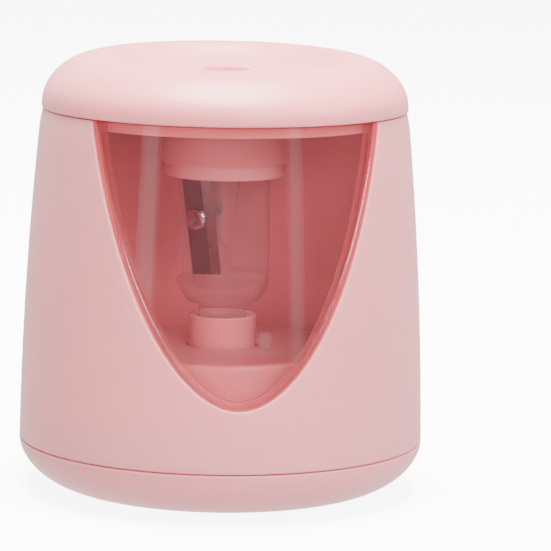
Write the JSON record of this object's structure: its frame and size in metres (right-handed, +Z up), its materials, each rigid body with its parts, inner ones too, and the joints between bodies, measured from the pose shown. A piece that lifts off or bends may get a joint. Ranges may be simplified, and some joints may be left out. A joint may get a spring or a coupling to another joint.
{
  "type": "electric pencil sharpener",
  "caption": "Desk pencil sharpener: tapered round housing with a lift-off lid and pencil hole, tinted front window, and a motor-driven cutter turning in a cup.",
  "frame": {"origin": "centre of the underside, at the level of the feet's faces", "axes": "+Z up along the pencil and spindle axis, -Y towards the window"},
  "size_m": [0.086, 0.086, 0.093],
  "materials": {
    "pink_plastic": "fine satin moulded ABS",
    "inner_pink_plastic": "satin moulded ABS",
    "tinted_window": "polished transparent tinted",
    "clear_plastic": "clear moulded, slightly frosted",
    "indicator_plastic": "clear moulded dome",
    "white_plastic": "natural acetal",
    "dark_plastic": "satin moulded",
    "blade_steel": "dark oiled ground steel",
    "steel": "zinc plated",
    "brass": "turned",
    "rubber": "moulded",
    "board_green": "solder masked laminate",
    "cell_sleeve": "plain shrink sleeve",
    "red_wire": "insulated",
    "black_wire": "insulated"
  },
  "bodies": {
    "housing": {"base_cover": "pink_plastic", "base_screw_1": "steel", "base_screw_2": "steel", "base_screw_3": "steel", "base_screw_4": "steel", "battery_cell": "cell_sleeve", "battery_contact_minus": "steel", "battery_contact_plus": "steel", "battery_holder": "dark_plastic", "battery_wire_black": "black_wire", "battery_wire_red": "red_wire", "board_screw_left": "steel", "board_screw_right": "steel", "body_shell": "pink_plastic", "charge_socket": "dark_plastic", "circuit_board": "board_green", "foot_1": "rubber", "foot_2": "rubber", "foot_3": "rubber", "foot_4": "rubber", "gear_axle": "steel", "gear_plate": "white_plastic", "indicator_lens": "indicator_plastic", "motor_can": "steel", "motor_deck": "inner_pink_plastic", "motor_end_cap": "dark_plastic", "motor_screw_left": "steel", "motor_screw_right": "steel", "motor_terminal_left": "brass", "motor_terminal_right": "brass", "motor_wire_black": "black_wire", "motor_wire_red": "red_wire", "plate_screw_1": "steel", "plate_screw_2": "steel", "plate_screw_3": "steel", "press_spring": "steel", "run_switch": "dark_plastic", "spindle_bush": "brass", "window_panel": "tinted_window"},
    "lid": {"lid": "pink_plastic", "guide_bush": "inner_pink_plastic"},
    "plunger": {"switch_plunger": "white_plastic", "switch_button": "white_plastic"},
    "spindle": {"cutter_body": "clear_plastic", "cutter_blade": "blade_steel", "blade_screw": "steel", "drive_cup": "inner_pink_plastic", "drive_shaft": "steel", "spindle_gear": "white_plastic"},
    "idler": {"compound_gear": "white_plastic"},
    "rotor": {"motor_shaft": "steel", "motor_pinion": "brass"}
  },
  "joints": [
    {"name": "lid_lift", "type": "slide", "parent": "housing", "child": "lid", "axis": [0, 0, 1], "range_m": [0, 0.03]},
    {"name": "pencil_press", "type": "slide", "parent": "housing", "child": "plunger", "axis": [0, 0, -1], "range_m": [0, 0.0015], "stiffness_N_per_m": 400, "springref_m": -0.002, "deforming": ["press_spring"]},
    {"name": "cutter_spin", "type": "hinge", "parent": "plunger", "child": "spindle", "pos_m": [0, 0, 0.05], "axis": [0, 0, 1], "continuous": true},
    {"name": "idler_spin", "type": "hinge", "parent": "housing", "child": "idler", "pos_m": [0.01086, 0.0075, 0.0255], "axis": [0, 0, 1], "continuous": true},
    {"name": "motor_spin", "type": "hinge", "parent": "housing", "child": "rotor", "pos_m": [0, 0.015, 0.018], "axis": [0, 0, 1], "continuous": true}
  ],
  "couplings": [
    {"joint": "idler_spin", "follows": "cutter_spin", "ratio": -2.6667},
    {"joint": "motor_spin", "follows": "cutter_spin", "ratio": 9.0667}
  ]
}
